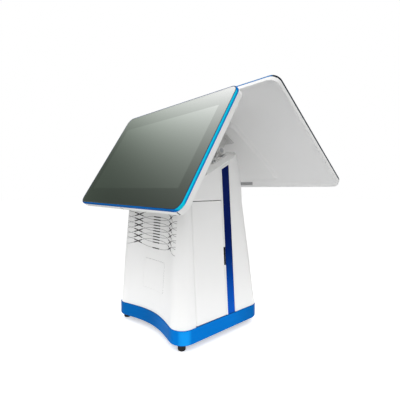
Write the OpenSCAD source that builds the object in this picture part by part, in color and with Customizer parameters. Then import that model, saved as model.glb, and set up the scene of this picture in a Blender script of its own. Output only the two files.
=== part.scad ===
// Counter-top till with two tilting displays on a tapered pedestal. Sizes in mm, Z up, floor at z = 0.
// X runs along the displays, the customer side faces -Y and the operator side faces +Y.

/* [Base] */
// Width of the blue base band
base_width = 192.4; // [184:0.2:202]
// Front tips of the base band, ahead of the tower's middle
base_front = 94.6; // [90:0.2:99]
// Rear of the base band, behind the tower's middle
base_rear = 91; // [87:0.5:95]
// Height of the blue band
band_height = 22.2; // [18:0.2:26]
// Height of the rubber feet
foot_height = 10.4; // [8:0.2:12]
// Diameter of the rubber feet
foot_d = 12; // [9:0.5:14]

/* [Tower] */
// How far the white shells stand back from the band
band_step = 1.5; // [0.5:0.25:3]
// Inward lean of the side walls, per mm of height
side_lean = 0.066; // [0.056:0.001:0.07]
// Backward lean of the front wall, per mm of height
front_lean = 0.07; // [0.06:0.001:0.076]
// Forward lean of the rear wall, per mm of height
rear_lean = 0.124; // [0.11:0.001:0.13]
// Plan radius of the front corners at the band
front_r = 20; // [17:0.5:23]
// Plan radius of the rear corners at the band
rear_r = 22; // [18:0.5:26]
// Wall thickness of the moulded shells
wall = 2.6; // [2:0.1:3.2]
// Height of the seam between front shell and neck shell
seam_z = 220; // [212:1:224]
// Width of the open seam lines
seam_gap = 0.9; // [0.6:0.1:1.4]
// Slope of the top deck, degrees
deck_slope = 26.24; // [24:0.1:28]
// Height of the deck plane a third of the way back
deck_z = 258; // [250:1:266]

/* [Strips and vents] */
// Front edge of the blue side strip
strip_y = 6.4; // [5:0.2:8]
// Width of the blue side strip
strip_width = 17.4; // [14:0.2:19]
// Width of the white bezel around the strip
bezel_width = 3.3; // [2.5:0.1:4]
// Top row of vents above the floor
vent_top = 193.5; // [185:0.5:197]
// Pitch of the vent rows
vent_pitch = 9.5; // [8.5:0.1:10.5]
// Sideways distance of the crossed vents from the middle
vent_x = 47.2; // [43:0.2:49]
// Width of one vent slot
vent_slot = 1.7; // [1.3:0.1:2]
// Length of one arm of a crossed vent
vent_arm = 17.4; // [15:0.2:18]

/* [Customer display] */
// Width over the trim
cust_w = 301.1; // [290:0.1:312]
// Height over the trim
cust_h = 202; // [195:0.5:209]
// Lean from vertical, degrees
cust_tilt = 32.08; // [29:0.01:34]
// Hinge line above the display's bottom edge
cust_v = 73.25; // [69:0.25:77]
// Thickness at the display's edges
cust_edge = 13.5; // [13:0.25:15]
// Black border beside the picture
cust_side = 20.8; // [16:0.2:25]
// Black border below the picture
cust_chin = 29.7; // [25:0.1:34]
// Black border above the picture
cust_brow = 31.7; // [27:0.1:36]

/* [Operator display] */
// Width over the trim
oper_w = 373.2; // [360:0.2:386]
// Height over the trim
oper_h = 254.7; // [248:0.1:260]
// Lean from vertical, degrees
oper_tilt = 54.59; // [52:0.01:55]
// Hinge line above the display's bottom edge
oper_v = 167.4; // [164:0.2:170]
// Thickness at the display's edges
oper_edge = 11.5; // [11:0.25:13]
// Black border beside the picture
oper_side = 28.7; // [24:0.1:33]
// Black border below the picture
oper_chin = 41.5; // [37:0.5:46]
// Black border above the picture
oper_brow = 33.9; // [29:0.1:38]
// Height of the raised service cover
cover_t = 4; // [3.5:0.25:5]

/* [Display build] */
// Depth of the coloured trim ring
trim_t = 4.6; // [4:0.1:4.8]
// How far the trim rounds in at its front
trim_in = 1.3; // [1:0.1:1.8]
// Corner radius of the displays
disp_r = 14; // [11:0.5:17]
// Hollow of the dished backs
dish = 1.5; // [0.8:0.1:1.6]
// Cover glass thickness
glass_t = 2; // [1.6:0.1:2.1]

/* [Hinges and fits] */
// Diameter of the hinge shafts
shaft_d = 8; // [7:0.5:9]
// Radial clearance of turning fits
run_gap = 0.05; // [0.03:0.01:0.08]
// Clearance between parts that move past each other
move_gap = 0.5; // [0.4:0.05:0.7]
// Clearance between fixed parts
fit_gap = 0.25; // [0.15:0.05:0.4]
// Width between the outer hinge lugs
hinge_span = 60; // [54:1:66]

/* [Printer] */
// Hinge line of the side door, from the tower's middle
door_y = -59; // [-61:0.5:-57]
// Radius of the door's hinge barrel
barrel_r = 4; // [3.5:0.25:4.5]
// Radius of the rubber platen
platen_r = 6; // [5:0.25:6.5]
// Tooth size of the feed gears
gear_m = 1; // [0.9:0.05:1.1]

/* [Hidden] */
$fn = 48;

white = [0.93, 0.93, 0.92];
blue = [0.05, 0.42, 0.8];
navy = [0.02, 0.1, 0.4];
dark = [0.13, 0.13, 0.14];
steel = [0.62, 0.63, 0.65];
light = [0.8, 0.8, 0.79];
green = [0.08, 0.35, 0.2];

// Heights and plan of the tower
band_z = foot_height + band_height;
body_hw = base_width / 2 - band_step - 0.5;
body_f = base_front - band_step;
body_r = base_rear - band_step / 2;
band_tip = 16.3;
tip_low = 17.7;
tip_high = 30.7;
wave_flat = 1.4;
rear_r_top = rear_r + 22;
rear_swell = 13;
shoulder_z = deck_z - 43;
shoulder_h = 96;
shoulder_steps = [0, 18, 34, 49, 62, 74, 86, 97];
side_ang = atan(side_lean);
rear_ang = atan(rear_lean);
deck_y = -33.1;
NW = 26;
NA = 9;
NB = 7;

function hw(z) = body_hw - side_lean * (z - band_z);
function yf(z) = -body_f + front_lean * (z - band_z);
function yr(z) = body_r - rear_lean * (z - band_z) + rear_swell * rise(z);
function rf(z) = front_r - 0.02 * (z - band_z);
function rise(z) = max(0, (z - shoulder_z) / shoulder_h);
function rr(z) = rear_r + (rear_r_top - rear_r) * pow(rise(z), 2.5);
function climb(z) = max(0, min(1, (z - band_z) / (shoulder_z - band_z)));

// Closed plan outline: a concave wave in front that can have a flat floor, round corners, flat sides and rear
function outline(h, f, r, cf, cr, tip, flat) =
  let (cx = h - cf, cy = f + cf, xw = cx - cf * sin(tip), ye = cy - cf * cos(tip),
       d = xw * tan(tip) * 2 / PI / (1 - flat + flat * PI / 2), rx = h - cr, ry = r - cr)
  concat(
    [for (i = [0:NW]) let (x = -xw + 2 * xw * i / NW, c = cos(90 * x / xw))
      [x, ye + d * ((1 - flat) * c + flat * sin(90 * c))]],
    [for (i = [1:NA]) let (a = -(90 + tip) + (90 + tip) * i / NA)
      [cx + cf * cos(a), cy + cf * sin(a)]],
    [for (i = [0:NB]) let (a = 90 * i / NB) [rx + cr * cos(a), ry + cr * sin(a)]],
    [for (i = [0:NB]) let (a = 90 + 90 * i / NB) [-rx + cr * cos(a), ry + cr * sin(a)]],
    [for (i = [0:NA - 1]) let (a = 180 + (90 + tip) * i / NA)
      [-cx + cf * cos(a), cy + cf * sin(a)]]);

function tower_ring(z, t) =
  [for (p = outline(hw(z) - t, yf(z) + t, yr(z) - t, rf(z) - t, rr(z) - t,
      tip_low + (tip_high - tip_low) * climb(z), wave_flat * climb(z))) [p[0], p[1], z]];

function flat_ring(pts, z) = [for (p = pts) [p[0], p[1], z]];

// Skin over a list of rings with equal point counts, counter-clockwise, bottom ring first
module loft(rings) {
  n = len(rings[0]);
  m = len(rings);
  pts = [for (r = rings) each r];
  sides = [for (k = [0:m - 2]) for (i = [0:n - 1]) let (j = (i + 1) % n)
    each [[k * n + i, (k + 1) * n + i, (k + 1) * n + j], [k * n + i, (k + 1) * n + j, k * n + j]]];
  polyhedron(points = pts, faces = concat([[for (i = [0:n - 1]) i]], sides,
    [[for (i = [0:n - 1]) (m - 1) * n + n - 1 - i]]));
}

module tower(t, low = 0) {
  loft(concat([tower_ring(band_z - low, t)], [for (k = shoulder_steps) tower_ring(shoulder_z + k, t)]));
}

// A thin moulded shell is made as one skin of small flats
module moulded() resize([0, 0, 0]) children();

// Frames: side wall, rear wall, deck, and the two displays
module on_side() translate([body_hw, 0, band_z]) rotate([0, -side_ang, 0]) children();
module on_rear() translate([0, body_r, band_z]) rotate([rear_ang, 0, 0]) children();
module on_deck() translate([0, deck_y, deck_z]) rotate([deck_slope, 0, 0]) children();
function deck_pt(a, b) = [deck_y + a * cos(deck_slope) - b * sin(deck_slope),
  deck_z + a * sin(deck_slope) + b * cos(deck_slope)];

// Hinge lines in the deck frame (along the slope, above the deck plane), and as [y, z]
cust_hy = -34;
cust_hz = 14.5;
oper_hy = 95.3;
oper_hz = 9.9;
cust_h_pt = deck_pt(cust_hy, cust_hz);
oper_h_pt = deck_pt(oper_hy, oper_hz);
// Back of each display behind its front face, and the hinge line behind that
cust_back = cust_edge - dish;
oper_back = oper_edge - dish;
cust_depth = cust_back + 24.7;
oper_depth = oper_back + cover_t + 34.3;
// Bottom edge of each display's front face
cust_b = [cust_h_pt[0] - cust_v * sin(cust_tilt) - cust_depth * cos(cust_tilt),
  cust_h_pt[1] - cust_v * cos(cust_tilt) + cust_depth * sin(cust_tilt)];
oper_b = [oper_h_pt[0] + oper_v * sin(oper_tilt) + oper_depth * cos(oper_tilt),
  oper_h_pt[1] - oper_v * cos(oper_tilt) + oper_depth * sin(oper_tilt)];
module on_cust() translate([0, cust_b[0], cust_b[1]]) rotate([90 - cust_tilt, 0, 0]) children();
module on_oper() translate([0, oper_b[0], oper_b[1]]) rotate([90 - oper_tilt, 0, 180]) children();

// The rounded trim ring, as steps of [inset, depth], and how far its nose stays behind the corner
trim_steps = concat([[0, trim_t]], [for (a = [0:15:90])
  [trim_in * (1 - cos(a)), 0.8 * trim_t * (1 - sin(a)) + 0.15]]);
function nose(tilt) = min([for (p = trim_steps) p[0] * sin(tilt) + p[1] * cos(tilt)]);

// The whole terminal is centred on its own box
y_off = (cust_b[0] + nose(cust_tilt) + oper_b[0] - nose(oper_tilt)) / 2;
module placed() translate([0, -y_off, 0]) children();

// Small helpers, and a size beyond everything for clean cuts
far = 400;
module xbar(x0, x1) translate([x0, 0, 0]) rotate([90, 0, 90]) linear_extrude(x1 - x0) children();
module ybar(y0, y1) translate([0, y1, 0]) rotate([90, 0, 0]) linear_extrude(y1 - y0) children();
module box(a, b) translate(a) cube(b - a);
module rod_x(x0, x1, y, z, r) translate([x0, y, z]) rotate([0, 90, 0]) cylinder(r = r, h = x1 - x0);
module rod_y(y0, y1, x, z, r) translate([x, y1, z]) rotate([90, 0, 0]) cylinder(r = r, h = y1 - y0);
module rrect(w, h, r) {
  square([w - 2 * r, h], center = true);
  square([w, h - 2 * r], center = true);
  for (sx = [-1, 1]) for (sy = [-1, 1])
    translate([sx * (w / 2 - r), sy * (h / 2 - r)]) circle(r);
}
module above_deck(z) on_deck() box([-far, -far, z], [far, far, far]);
module below_deck(z) on_deck() box([-far, -far, -far], [far, far, z]);

// Pedestal: base
foot_x = base_width / 2 - 15;
foot_xr = base_width / 2 - 38;
foot_yf = -base_front + 14;
foot_yr = base_rear - 25;
stud_r = foot_d / 5;
floor_t = 3;
rim_t = 6;
plate_t = 3;
plate_z = foot_height + floor_t;
frame_z = plate_z + plate_t;
band_fr = front_r + 2.3;
band_rr = rear_r + 3;
function base_in(t) = outline(base_width / 2 - t, -base_front + t, base_rear - t, band_fr - t,
  band_rr - t, band_tip, 0);
screw_xy = [[-34, 26], [34, 26]];
module each_foot() for (p = [[-foot_x, foot_yf], [foot_x, foot_yf], [-foot_xr, foot_yr], [foot_xr, foot_yr]])
  translate([p[0], p[1], 0]) children();

module base_tray() color(blue) placed() moulded() difference() {
  loft([flat_ring(base_in(1), foot_height), flat_ring(base_in(0), foot_height + 1.2),
    flat_ring(base_in(0), band_z - 0.8), flat_ring(base_in(0.7), band_z)]);
  translate([0, 0, plate_z]) linear_extrude(band_height) polygon(base_in(rim_t));
  each_foot() translate([0, 0, foot_height - 1]) cylinder(r = stud_r + fit_gap, h = 9);
  for (p = screw_xy) translate([p[0], p[1], foot_height - 1]) cylinder(r = 2.2, h = 9);
  for (p = screw_xy) translate([p[0], p[1], foot_height - 1]) cylinder(r = 4, h = 2.6);
}

module rubber_feet() color(dark) placed() each_foot() {
  cylinder(r1 = foot_d / 2 - 0.6, r2 = foot_d / 2, h = 1.2);
  translate([0, 0, 1.2]) cylinder(r = foot_d / 2, h = foot_height - 1.2);
  cylinder(r = stud_r, h = foot_height + floor_t - 0.2);
}

module ballast_plate() color(steel) placed() difference() {
  translate([0, 0, plate_z]) linear_extrude(plate_t) polygon(base_in(rim_t + 1));
  for (p = screw_xy) translate([p[0], p[1], plate_z - 1]) cylinder(r = 2.2, h = 9);
}

module base_screws() color(steel) placed() for (p = screw_xy) translate([p[0], p[1], foot_height]) {
  translate([0, 0, 0.2]) cylinder(r = 3.6, h = 1.4);
  cylinder(r = 2, h = floor_t + plate_t + 2.4);
}

// Pedestal: moulded shells
shell_y = strip_y - bezel_width - fit_gap;
back_y = strip_y + strip_width + bezel_width + fit_gap;
door_edge = shell_y + fit_gap - move_gap;
jamb_y = door_y - barrel_r - move_gap;
seam_lo = seam_z - seam_gap / 2;
seam_hi = seam_z + seam_gap / 2;
lip_t = 2.6;
lip_drop = 4.6;
cover_w = 60;
cover_h = 50;
cover_r = 4;
cover_z = 94;
cover_deep = 1.8;
cable_w = 34;
io_w = 112;
io_lo = 9;
io_hi = 37;

// Two waves of vents cross on each row: dashes where they crest, crosses where they meet
vent_rows = 5;
vent_wave = 0.75 * vent_pitch;
vent_ang = 20;
dash_w = 20;
module slot(x, z, a, w) translate([x, -far, z]) rotate([0, a, 0])
  box([-w / 2, 0, -vent_slot / 2], [w / 2, far - 45, vent_slot / 2]);
module vent_slots() for (i = [0:vent_rows]) {
  for (s = [-1, 1]) slot(0, vent_top - i * vent_pitch + s * vent_wave, 0, dash_w);
  for (s = [-1, 1]) for (a = [-vent_ang, vent_ang]) slot(s * vent_x, vent_top - i * vent_pitch, a, vent_arm);
}

module cover_prism(g) ybar(-far, -40) translate([0, cover_z])
  rrect(cover_w - 2 * g, cover_h - 2 * g, cover_r - g);

module front_shell() color(white) placed() moulded() difference() {
  tower(0);
  tower(wall, 2);
  box([-far, -far, seam_lo], [far, far, far]);
  box([-far, shell_y, 0], [far, far, far]);
  box([0, jamb_y, 0], [far, far, far]);
  vent_slots();
  difference() {
    cover_prism(0);
    tower(cover_deep, 2);
  }
}

module front_cover() color(white) placed() moulded() intersection() {
  cover_prism(fit_gap);
  difference() {
    tower(0);
    tower(cover_deep - 0.05, 2);
  }
}

module neck_shell() color(white) placed() moulded() difference() {
  tower(0);
  tower(wall, 2);
  box([-far, -far, 0], [far, far, seam_hi]);
  above_deck(0);
  difference() {
    box([-far, shell_y, 0], [far, far, far]);
    difference() {
      box([-far, 0, 0], [far, back_y - fit_gap, far]);
      below_deck(-lip_t);
    }
  }
}

module rear_shell() color(white) placed() moulded() difference() {
  tower(0);
  tower(wall, 2);
  box([-far, -far, 0], [far, back_y, far]);
  above_deck(0);
  on_deck() box([-lug_out - move_gap, 0, -lip_drop], [lug_out + move_gap, far, far]);
  on_rear() box([-io_w / 2, -12, io_lo], [io_w / 2, 20, io_hi]);
}

// Blue strips in their white bezels, one pair on each side wall
bezel_in = 5;
bezel_out = 0.4;
bezel_foot = 0.5;
bezel_head = 3;
module bezel_block(y0, y1, z0, x0, x1) on_side() box([x0, y0, z0], [x1, y1, far]);
module bezel_frame() difference() {
  bezel_block(strip_y - bezel_width, strip_y + strip_width + bezel_width, bezel_foot, -bezel_in, bezel_out);
  difference() {
    bezel_block(strip_y, strip_y + strip_width, -far, -far, far);
    above_deck(-lip_t - fit_gap - bezel_head);
  }
  above_deck(-lip_t - fit_gap);
}
module strip() difference() {
  bezel_block(strip_y + fit_gap, strip_y + strip_width - fit_gap, bezel_foot, 1 - bezel_in, -0.1);
  above_deck(-lip_t - bezel_head - 2 * fit_gap);
}
notch_lo = 82;
notch_hi = 111;
module strip_bezel_right() color(white) placed() difference() {
  bezel_frame();
  on_side() box([-3, strip_y - bezel_width - 1, notch_lo], [9, strip_y - 0.5, notch_hi]);
}
module strip_bezel_left() color(white) placed() mirror([1, 0, 0]) bezel_frame();
module side_strip_right() color(navy) placed() strip();
module side_strip_left() color(navy) placed() mirror([1, 0, 0]) strip();

// Slanted deck under the displays
deck_t = 3;
deck_top = -1.5;
c_plate = [-30, -4];
o_plate = [58, 96];
hs_x = 42;
c_screws = [[-hs_x, -10], [hs_x, -10], [-hs_x, -24], [hs_x, -24]];
o_screws = [[-hs_x, 64], [hs_x, 64], [-hs_x, 88], [hs_x, 88]];
module deck_holes(r) for (p = concat(c_screws, o_screws)) translate([p[0], p[1], -9]) cylinder(r = r, h = 20);
module deck_plate() color(white) placed() difference() {
  intersection() {
    tower(wall + fit_gap);
    on_deck() box([-far, -far, deck_top - deck_t], [far, far, deck_top]);
  }
  on_deck() deck_holes(2.1);
  on_deck() box([-cable_w / 2, 12, -9], [cable_w / 2, 34, 9]);
  for (s = [0, 1]) mirror([s, 0, 0]) on_side()
    box([-bezel_in - 0.5, shell_y, 0], [9, back_y, far]);
}

// Steel spine that carries the deck from the base
under = deck_top - deck_t;
spine_y = 12;
spine_t = 2.5;
spine_hw = 48;
module spine_frame() color(steel) placed() difference() {
  union() {
    box([-spine_hw, spine_y, frame_z], [spine_hw, spine_y + spine_t, far]);
    box([-spine_hw, spine_y, frame_z], [spine_hw, spine_y + 28, frame_z + spine_t]);
    on_deck() box([-spine_hw, 38, under - spine_t], [spine_hw, 72, under]);
    for (s = [-1, 1]) xbar(s * 29 - 1.25, s * 29 + 1.25)
      polygon([[spine_y + 1, seam_z + 6], [spine_y + 1, far], [-52, far], [-52, seam_z + 6]]);
    for (s = [-1, 1]) xbar(s * 46.5 - 1.25, s * 46.5 + 1.25)
      polygon([[spine_y + 1, frame_z], [spine_y + 28, frame_z], [spine_y + 1, frame_z + 40]]);
  }
  above_deck(under);
  for (p = screw_xy) translate([p[0], p[1], 0]) cylinder(r = 2.05, h = 40);
  on_deck() box([-cable_w / 2, 12, -40], [cable_w / 2, 34, 9]);
  xbar(-12, 12) translate([spine_y - 5, 150]) square([20, 40]);
}

// Electronics
board_y = spine_y + spine_t + 4;
module main_board() color(green) placed() {
  difference() {
    box([-60, board_y, 62], [60, board_y + 1.6, 190]);
    for (s = [-1, 1]) for (z = [70, 140]) rod_y(board_y - 1, board_y + 4, s * 42, z, 1.6);
  }
  for (s = [-1, 1]) for (z = [70, 140]) difference() {
    rod_y(spine_y + spine_t, board_y, s * 42, z, 3);
    rod_y(spine_y, board_y + 4, s * 42, z, 1.6);
  }
  box([-20, board_y + 1.6, 118], [20, board_y + 4, 152]);
  box([28, board_y + 1.6, 100], [54, board_y + 5, 112]);
  box([-54, board_y + 1.6, 165], [-24, board_y + 9, 180]);
  for (i = [0:3]) rod_y(board_y + 1.6, board_y + 14, 32 + 7 * i, 170, 3);
}
module heatsink() color(steel) placed() {
  box([-26, board_y + 4, 112], [26, board_y + 7, 158]);
  for (i = [0:8]) box([-26 + i * 6.3, board_y + 7, 112], [-24.4 + i * 6.3, board_y + 20, 158]);
}
ports = [[-38, 12.4, 8.8], [-18, 12.4, 8.8], [2, 13.4, 6.6], [22, 13.4, 6.6]];
port_w = 16;
port_lo = 15;
port_hi = 29;
dc_r = 5.2;
dc_x = -47;
dc_z = port_lo + dc_r;
module io_plate() color(dark) placed() on_rear() difference() {
  union() {
    box([-io_w / 2 + fit_gap, -9, io_lo + fit_gap], [io_w / 2 - fit_gap, -0.5, io_hi - fit_gap]);
    box([-io_w / 2 - 5, -9, io_lo - 5], [io_w / 2 + 5, -wall - 0.3, io_hi + 5]);
  }
  box([-io_w / 2 + 2, -7.5, io_lo + 2], [io_w / 2 - 2, 9, io_hi - 2]);
  for (p = ports)
    box([p[0] - fit_gap, -20, port_lo - fit_gap], [p[0] + port_w + fit_gap, 9, port_hi + fit_gap]);
  rod_y(-20, 9, dc_x, dc_z, dc_r + fit_gap);
}
module io_ports() color(steel) placed() on_rear() for (p = ports) difference() {
  box([p[0], -26, port_lo], [p[0] + port_w, -3.5, port_hi]);
  translate([p[0] + port_w / 2 - p[1] / 2, -16, (port_lo + port_hi) / 2 - p[2] / 2]) cube([p[1], 20, p[2]]);
}
module io_board() color(green) placed() on_rear()
  box([-io_w / 2, -48, port_lo - 1.6], [io_w / 2, -9.3, port_lo]);
module dc_inlet() color(dark) placed() on_rear() {
  difference() {
    rod_y(-24, -3.5, dc_x, dc_z, dc_r);
    rod_y(-16, 9, dc_x, dc_z, 3.6);
  }
  rod_y(-18, -5, dc_x, dc_z, 1.1);
}

// Receipt printer behind the side door
pl_x = body_hw - 32;
pl_z = 200;
gear_n = 24;
pinion_n = 12;
ctr = gear_m * (gear_n + pinion_n) / 2;
mot_x = pl_x - ctr * cos(45);
mot_z = pl_z - ctr * sin(45);
pc_f = -57.2;
pc_b = 3.4;
sheet = 1.5;
pl_shaft = 2.5;
pc_x = pl_x - 24;
pc_z = pl_z + 12;
pc_low = pl_z - 50;
head_x = pl_x - 13.5;

// Speakers behind the vents, with an acoustic cloth
// Their size follows the bay between the middle and the printer, and they sit close behind the cloth
spk_z = vent_top - vent_rows * vent_pitch / 2;
spk_bay = pc_x - sheet;
spk_k = spk_bay / 36.7;
spk_r = 18.5 * spk_k;
spk_x = 24 * spk_k;
spk_neck = 7 * spk_k;
spk_magnet = 9.5 * spk_k;
spk_rim = 2;
cloth_t = 0.65;
spk_gap = 0.1885;
spk_y = tower_ring(spk_z + spk_r, wall + cloth_t)[NW / 2][1] + spk_gap;
cloth_w = 2 * (vent_x + vent_arm / 2 + 1.5);
module speaker_cloth() color(dark) placed() moulded() intersection() {
  difference() {
    tower(wall + 0.05);
    tower(wall + cloth_t);
  }
  box([-cloth_w / 2, -far, vent_top - (vent_rows + 1.2) * vent_pitch],
    [cloth_w / 2, -50, vent_top + vent_pitch]);
}
module speakers() color(dark) placed() for (s = [-1, 1]) {
  difference() {
    rod_y(spk_y, spk_y + 3, s * spk_x, spk_z, spk_r);
    rod_y(spk_y - 5, spk_y + 9, s * spk_x, spk_z, spk_r - spk_rim);
  }
  translate([s * spk_x, spk_y + 1.5, spk_z]) rotate([-90, 0, 0]) difference() {
    cylinder(r1 = spk_r - 1, r2 = spk_neck, h = 8);
    translate([0, 0, -0.01]) cylinder(r1 = spk_r - 2.5, r2 = spk_neck - 1.5, h = 6);
  }
  rod_y(spk_y + 9.4, spk_y + 14, s * spk_x, spk_z, spk_magnet);
}

module printer_chassis() color(steel) placed() difference() {
  union() {
    for (y = [pc_f, pc_b - sheet]) box([pc_x, y, frame_z], [pl_x + 8, y + sheet, pc_z]);
    box([pc_x - sheet, pc_f, pc_low], [pc_x, pc_b, pc_z]);
    box([pc_x - sheet, pc_b - sheet, pc_low], [pc_x + 8, spine_y, pc_low + sheet]);
  }
  rod_y(-80, 40, pl_x, pl_z, pl_shaft + run_gap);
  rod_y(-20, 40, mot_x, mot_z, 3.4);
}
module print_head() color(dark) placed() {
  box([head_x, pc_f + sheet + 1, mot_z + 11], [pl_x - platen_r - 0.3, pc_b - sheet - 1, pc_z - 1]);
  box([pc_x, pc_f + 14, pl_z + 3], [head_x, pc_b - 14, pl_z + 6]);
}
module platen_roller() color(dark) placed() {
  rod_y(pc_f + sheet + 0.5, pc_b - sheet - 0.5, pl_x, pl_z, platen_r);
  rod_y(pc_f - 2, pc_b + 6, pl_x, pl_z, pl_shaft);
}
function tooth(n, r0, k) = let (rp = gear_m * n / 2, a = 360 * k / n + r0)
  [for (q = [[-1.25, -1.05], [0.8, -0.32], [0.8, 0.32], [-1.25, 1.05]])
    let (rad = rp + q[0] * gear_m, b = q[1] * gear_m)
      [rad * cos(a) - b * sin(a), rad * sin(a) + b * cos(a)]];
module gear2d(n, r0) polygon([for (k = [0:n - 1]) each tooth(n, r0, k)]);
module platen_gear() color(white) placed() translate([pl_x, pc_b + 5.4, pl_z]) rotate([90, 0, 0])
  linear_extrude(4.4) difference() {
    gear2d(gear_n, 7.5);
    circle(pl_shaft);
  }
module motor_pinion() color(steel) placed() {
  translate([mot_x, pc_b + 5.4, mot_z]) rotate([90, 0, 0]) linear_extrude(4.4) difference() {
    gear2d(pinion_n, 15);
    circle(1.5);
  }
  rod_y(pc_b - sheet - 3, pc_b + 5.4, mot_x, mot_z, 1.5);
}
module drive_motor() color(steel) placed() difference() {
  rod_y(pc_b - sheet - 24, pc_b - sheet, mot_x, mot_z, 10);
  rod_y(pc_b - sheet - 6, pc_b + 9, mot_x, mot_z, 1.5 + run_gap);
}
cr_x = pl_x - 13;
cr_z = 92;
cr_r = 29;
module paper_cradle() color(dark) placed() difference() {
  rod_y(pc_f + sheet, pc_b - sheet, cr_x, cr_z, cr_r + 2);
  rod_y(pc_f, pc_b, cr_x, cr_z, cr_r);
  box([-far, -far, cr_z], [far, far, far]);
}

// Side door: local frame of the right wall, hinge barrel along its front edge
door_lo = 1;
door_hi = (seam_z - band_z) / cos(side_ang) - 0.6;
door_t = 2.8;
lug_h = 3.5;
lug_z = [3, door_hi - 6.5];
rod_r = 1.5;
eye_r = 2.6;
arm_t = 2.4;
module on_hinge() on_side() translate([-barrel_r, door_y, 0]) children();
module printer_door() color(white) placed() difference() {
  union() {
    on_side() box([-door_t, door_y, door_lo], [0, door_edge, door_hi]);
    on_hinge() translate([0, 0, door_lo]) cylinder(r = barrel_r, h = door_hi - door_lo);
    for (z = [40, 150]) on_side() box([-door_t - 2, door_y + 10, z], [-door_t + 0.5, door_edge - 4, z + 2]);
  }
  on_hinge() translate([0, 0, -5]) cylinder(r = rod_r + run_gap, h = 250);
  for (z = lug_z) on_hinge() translate([0, 0, z - move_gap]) linear_extrude(lug_h + 2 * move_gap) {
    circle(eye_r + move_gap);
    polygon(concat([[0, 0]], [for (a = [150:20:290]) 2 * barrel_r * [cos(a), sin(a)]]));
  }
}
module door_brackets() color(steel) placed() on_hinge() for (z = lug_z) translate([0, 0, z]) difference() {
  union() {
    cylinder(r = eye_r, h = lug_h);
    box([-34, -arm_t / 2, 0], [0, arm_t / 2, lug_h]);
    box([-34, -3, 0], [-2 * barrel_r, pc_f - door_y, lug_h]);
  }
  translate([0, 0, -1]) cylinder(r = rod_r + 0.02, h = 20);
}
module door_hinge_rod() color(steel) placed() on_hinge()
  translate([0, 0, lug_z[0]]) cylinder(r = rod_r, h = lug_z[1] - lug_z[0] + lug_h);

// Display hinges: lugs on the deck, a shaft, and a leaf on each display
lug_r = shaft_d;
lug_w = 5;
lug_out = hinge_span / 2;
leaf_w = 6.5;
leaf_out = lug_out - move_gap;
nut_gap = 0.1;
module deck_lugs(hy, hz, y0, y1) {
  box([-46, y0, deck_top], [46, y1, deck_top + 2]);
  for (s = [0, 1]) mirror([s, 0, 0]) xbar(lug_out, lug_out + lug_w) {
    translate([hy, hz]) circle(lug_r);
    polygon([[max(y0, hy - 14), deck_top], [min(y1, hy + 16), deck_top], [min(y1, hy + 16), deck_top + 4],
      [min(hy + lug_r * 0.7, y1), hz + 2], [hy, hz], [max(hy - lug_r * 0.7, y0), hz]]);
  }
}
module customer_hinge_base() color(light) placed() on_deck() difference() {
  deck_lugs(cust_hy, cust_hz, c_plate[0], c_plate[1]);
  rod_x(-60, 60, cust_hy, cust_hz, shaft_d / 2 + run_gap);
  deck_holes(2.1);
}
module operator_hinge_base() color(light) placed() on_deck() difference() {
  deck_lugs(oper_hy, oper_hz, o_plate[0], o_plate[1]);
  rod_x(-60, 60, oper_hy, oper_hz, shaft_d / 2 + run_gap);
  deck_holes(2.1);
}
module shaft_at(hy, hz) on_deck() rod_x(-lug_out - lug_w - 4, lug_out + lug_w + 4, hy, hz, shaft_d / 2);
module customer_hinge_shaft() color(steel) placed() shaft_at(cust_hy, cust_hz);
module operator_hinge_shaft() color(steel) placed() shaft_at(oper_hy, oper_hz);
module hinge_nuts() color(light) placed() on_deck() for (p = [[cust_hy, cust_hz], [oper_hy, oper_hz]])
  for (s = [0, 1]) mirror([s, 0, 0]) difference() {
    rod_x(lug_out + lug_w + nut_gap, lug_out + lug_w + 3.6, p[0], p[1], shaft_d * 0.8);
    rod_x(0, 90, p[0], p[1], shaft_d / 2);
  }
module hinge_screws() color(steel) placed() on_deck() for (p = concat(c_screws, o_screws))
  translate([p[0], p[1], 0]) {
  translate([0, 0, deck_top + 2]) cylinder(r = 3.4, h = 2);
  translate([0, 0, under + 0.1]) cylinder(r = 1.9, h = deck_t + 3);
}
leaf_t = 2.5;
leaf_sx = 16;
c_leaf = [cust_v - 16, cust_v + 24];
o_leaf = [oper_v - 18, oper_v + 11];
module leaf(v, depth, back, y0, y1) difference() {
  union() {
    box([-37, y0, -back - leaf_t], [37, y1, -back]);
    for (s = [0, 1]) mirror([s, 0, 0]) xbar(leaf_out - leaf_w, leaf_out) {
      translate([v, -depth]) circle(lug_r);
      translate([v - lug_r, -depth]) square([2 * lug_r, depth - back - leaf_t / 2]);
    }
  }
  rod_x(-60, 60, v, -depth, shaft_d / 2 + run_gap);
  for (s = [-1, 1]) for (y = [y0 + 6, y1 - 6]) translate([s * leaf_sx, y, -60]) cylinder(r = 2.1, h = 60);
}
module leaf_screws(back, y0, y1, long) for (s = [-1, 1]) for (y = [y0 + 6, y1 - 6])
  translate([s * leaf_sx, y, -back]) {
  translate([0, 0, -leaf_t - 1.8]) cylinder(r = 3.4, h = 1.8);
  translate([0, 0, -leaf_t - 0.5]) cylinder(r = 1.9, h = leaf_t + 0.5 + long);
}
module customer_hinge_leaf() color(light) placed() on_cust()
  leaf(cust_v, cust_depth, cust_back, c_leaf[0], c_leaf[1]);
module operator_hinge_leaf() color(light) placed() on_oper()
  leaf(oper_v, oper_depth, oper_back + cover_t, o_leaf[0], o_leaf[1]);
module customer_leaf_screws() color(steel) placed() on_cust() leaf_screws(cust_back, c_leaf[0], c_leaf[1], 2);
module operator_leaf_screws() color(steel) placed() on_oper()
  leaf_screws(oper_back + cover_t, o_leaf[0], o_leaf[1], cover_t + 1.5);

// Displays, built flat: front face at z = 0, bottom edge at y = 0
back_t = 2.2;
side_t = 2.4;
lip = 0.3;
ledge = 6;
glass_in = trim_in + lip + fit_gap;
rim_w = 3;
dish_w = 11;
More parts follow.
